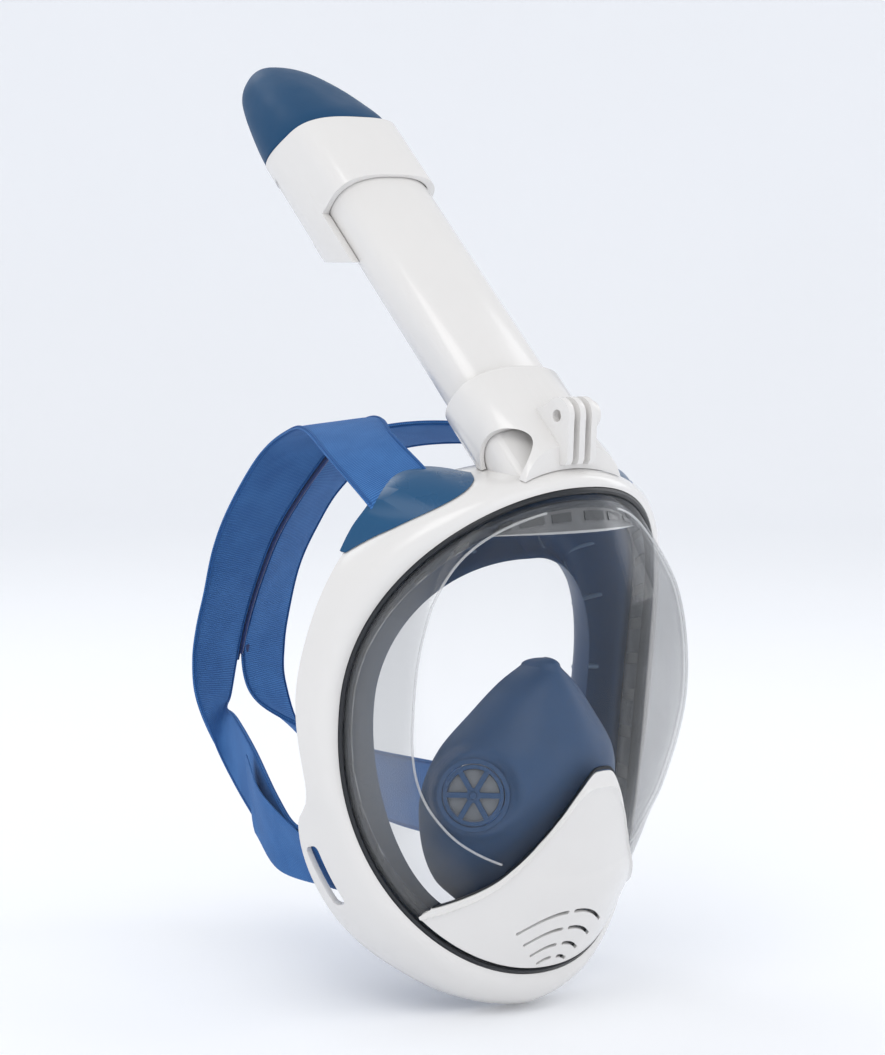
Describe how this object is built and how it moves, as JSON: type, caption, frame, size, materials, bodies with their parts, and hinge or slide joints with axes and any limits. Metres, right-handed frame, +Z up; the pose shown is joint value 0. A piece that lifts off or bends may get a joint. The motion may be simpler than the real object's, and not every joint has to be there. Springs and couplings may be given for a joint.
{
  "type": "full face snorkel mask",
  "caption": "Full face snorkel mask with a curved lens, silicone face skirt, nose pocket with valves, elastic head strap and a detachable leaning tube with a float-valve dry top.",
  "frame": {"origin": "centre of the face opening, on the plane of the widest part of the skirt's face edge", "axes": "-Y towards the front of the mask, +Z up, +X towards the wearer's left; the tube leans back 45.4 degrees from +Z towards +Y"},
  "size_m": [0.188, 0.2704, 0.3989],
  "materials": {
    "white_abs": "glossy warm white, fine moulded surface",
    "clear_polycarbonate": "clear, polished",
    "smoke_plastic": "smoky translucent, polished",
    "blue_silicone": "satin navy silicone",
    "grey_silicone": "matt grey silicone",
    "black_rubber": "matt black",
    "blue_plastic": "satin steel blue",
    "blue_webbing": "woven elastic, denim blue",
    "steel": "plain stainless"
  },
  "bodies": {
    "mask": {"air_duct_panel": "smoke_plastic", "chin_cover": "white_abs", "face_skirt": "blue_silicone", "inhale_valve_seat_left": "blue_silicone", "inhale_valve_seat_right": "blue_silicone", "inner_frame": "smoke_plastic", "lens": "clear_polycarbonate", "lens_gasket": "black_rubber", "lower_strap_bar_left": "white_abs", "lower_strap_bar_right": "white_abs", "main_frame": "white_abs", "neck_seal": "black_rubber", "nose_pocket": "blue_silicone", "purge_valve_seat": "grey_silicone", "strap_band_left": "blue_webbing", "strap_band_right": "blue_webbing", "strap_tail_left": "blue_webbing", "strap_tail_right": "blue_webbing", "upper_strap_clip_left": "blue_plastic", "upper_strap_clip_right": "blue_plastic"},
    "purge_flap": {"purge_valve_flap": "grey_silicone"},
    "inhale_flap_left": {"inhale_valve_flap_left": "grey_silicone"},
    "inhale_flap_right": {"inhale_valve_flap_right": "grey_silicone"},
    "exhale_flap_left": {"exhale_valve_flap_left": "grey_silicone"},
    "exhale_flap_right": {"exhale_valve_flap_right": "grey_silicone"},
    "float": {"drytop_float": "blue_plastic", "float_seal": "black_rubber"},
    "snorkel": {"snorkel_collar": "white_abs", "camera_mount_nut": "steel", "snorkel_tube": "white_abs", "exhale_valve_plate": "white_abs", "drytop_housing": "white_abs", "drytop_cap": "blue_plastic", "drytop_rear_cover": "white_abs", "float_valve_seat": "white_abs", "float_cage": "white_abs"}
  },
  "joints": [
    {"name": "snorkel_slide", "type": "slide", "parent": "mask", "child": "snorkel", "axis": [0, 0.712, 0.7022], "range_m": [0, 0.05]},
    {"name": "float_slide", "type": "slide", "parent": "snorkel", "child": "float", "axis": [0, 0.712, 0.7022], "range_m": [0, 0.01]},
    {"name": "purge_flap_lift", "type": "slide", "parent": "mask", "child": "purge_flap", "axis": [0, -0.8988, -0.4384], "range_m": [0, 0.0012], "stiffness_N_per_m": 15},
    {"name": "inhale_flap_left_lift", "type": "slide", "parent": "mask", "child": "inhale_flap_left", "axis": [-0.7197, 0.6897, -0.08], "range_m": [0, 0.0012], "stiffness_N_per_m": 15},
    {"name": "inhale_flap_right_lift", "type": "slide", "parent": "mask", "child": "inhale_flap_right", "axis": [0.7197, 0.6897, -0.08], "range_m": [0, 0.0012], "stiffness_N_per_m": 15},
    {"name": "exhale_flap_left_lift", "type": "slide", "parent": "snorkel", "child": "exhale_flap_left", "axis": [0, 0.712, 0.7022], "range_m": [0, 0.0012], "stiffness_N_per_m": 15},
    {"name": "exhale_flap_right_lift", "type": "slide", "parent": "snorkel", "child": "exhale_flap_right", "axis": [0, 0.712, 0.7022], "range_m": [0, 0.0012], "stiffness_N_per_m": 15}
  ]
}
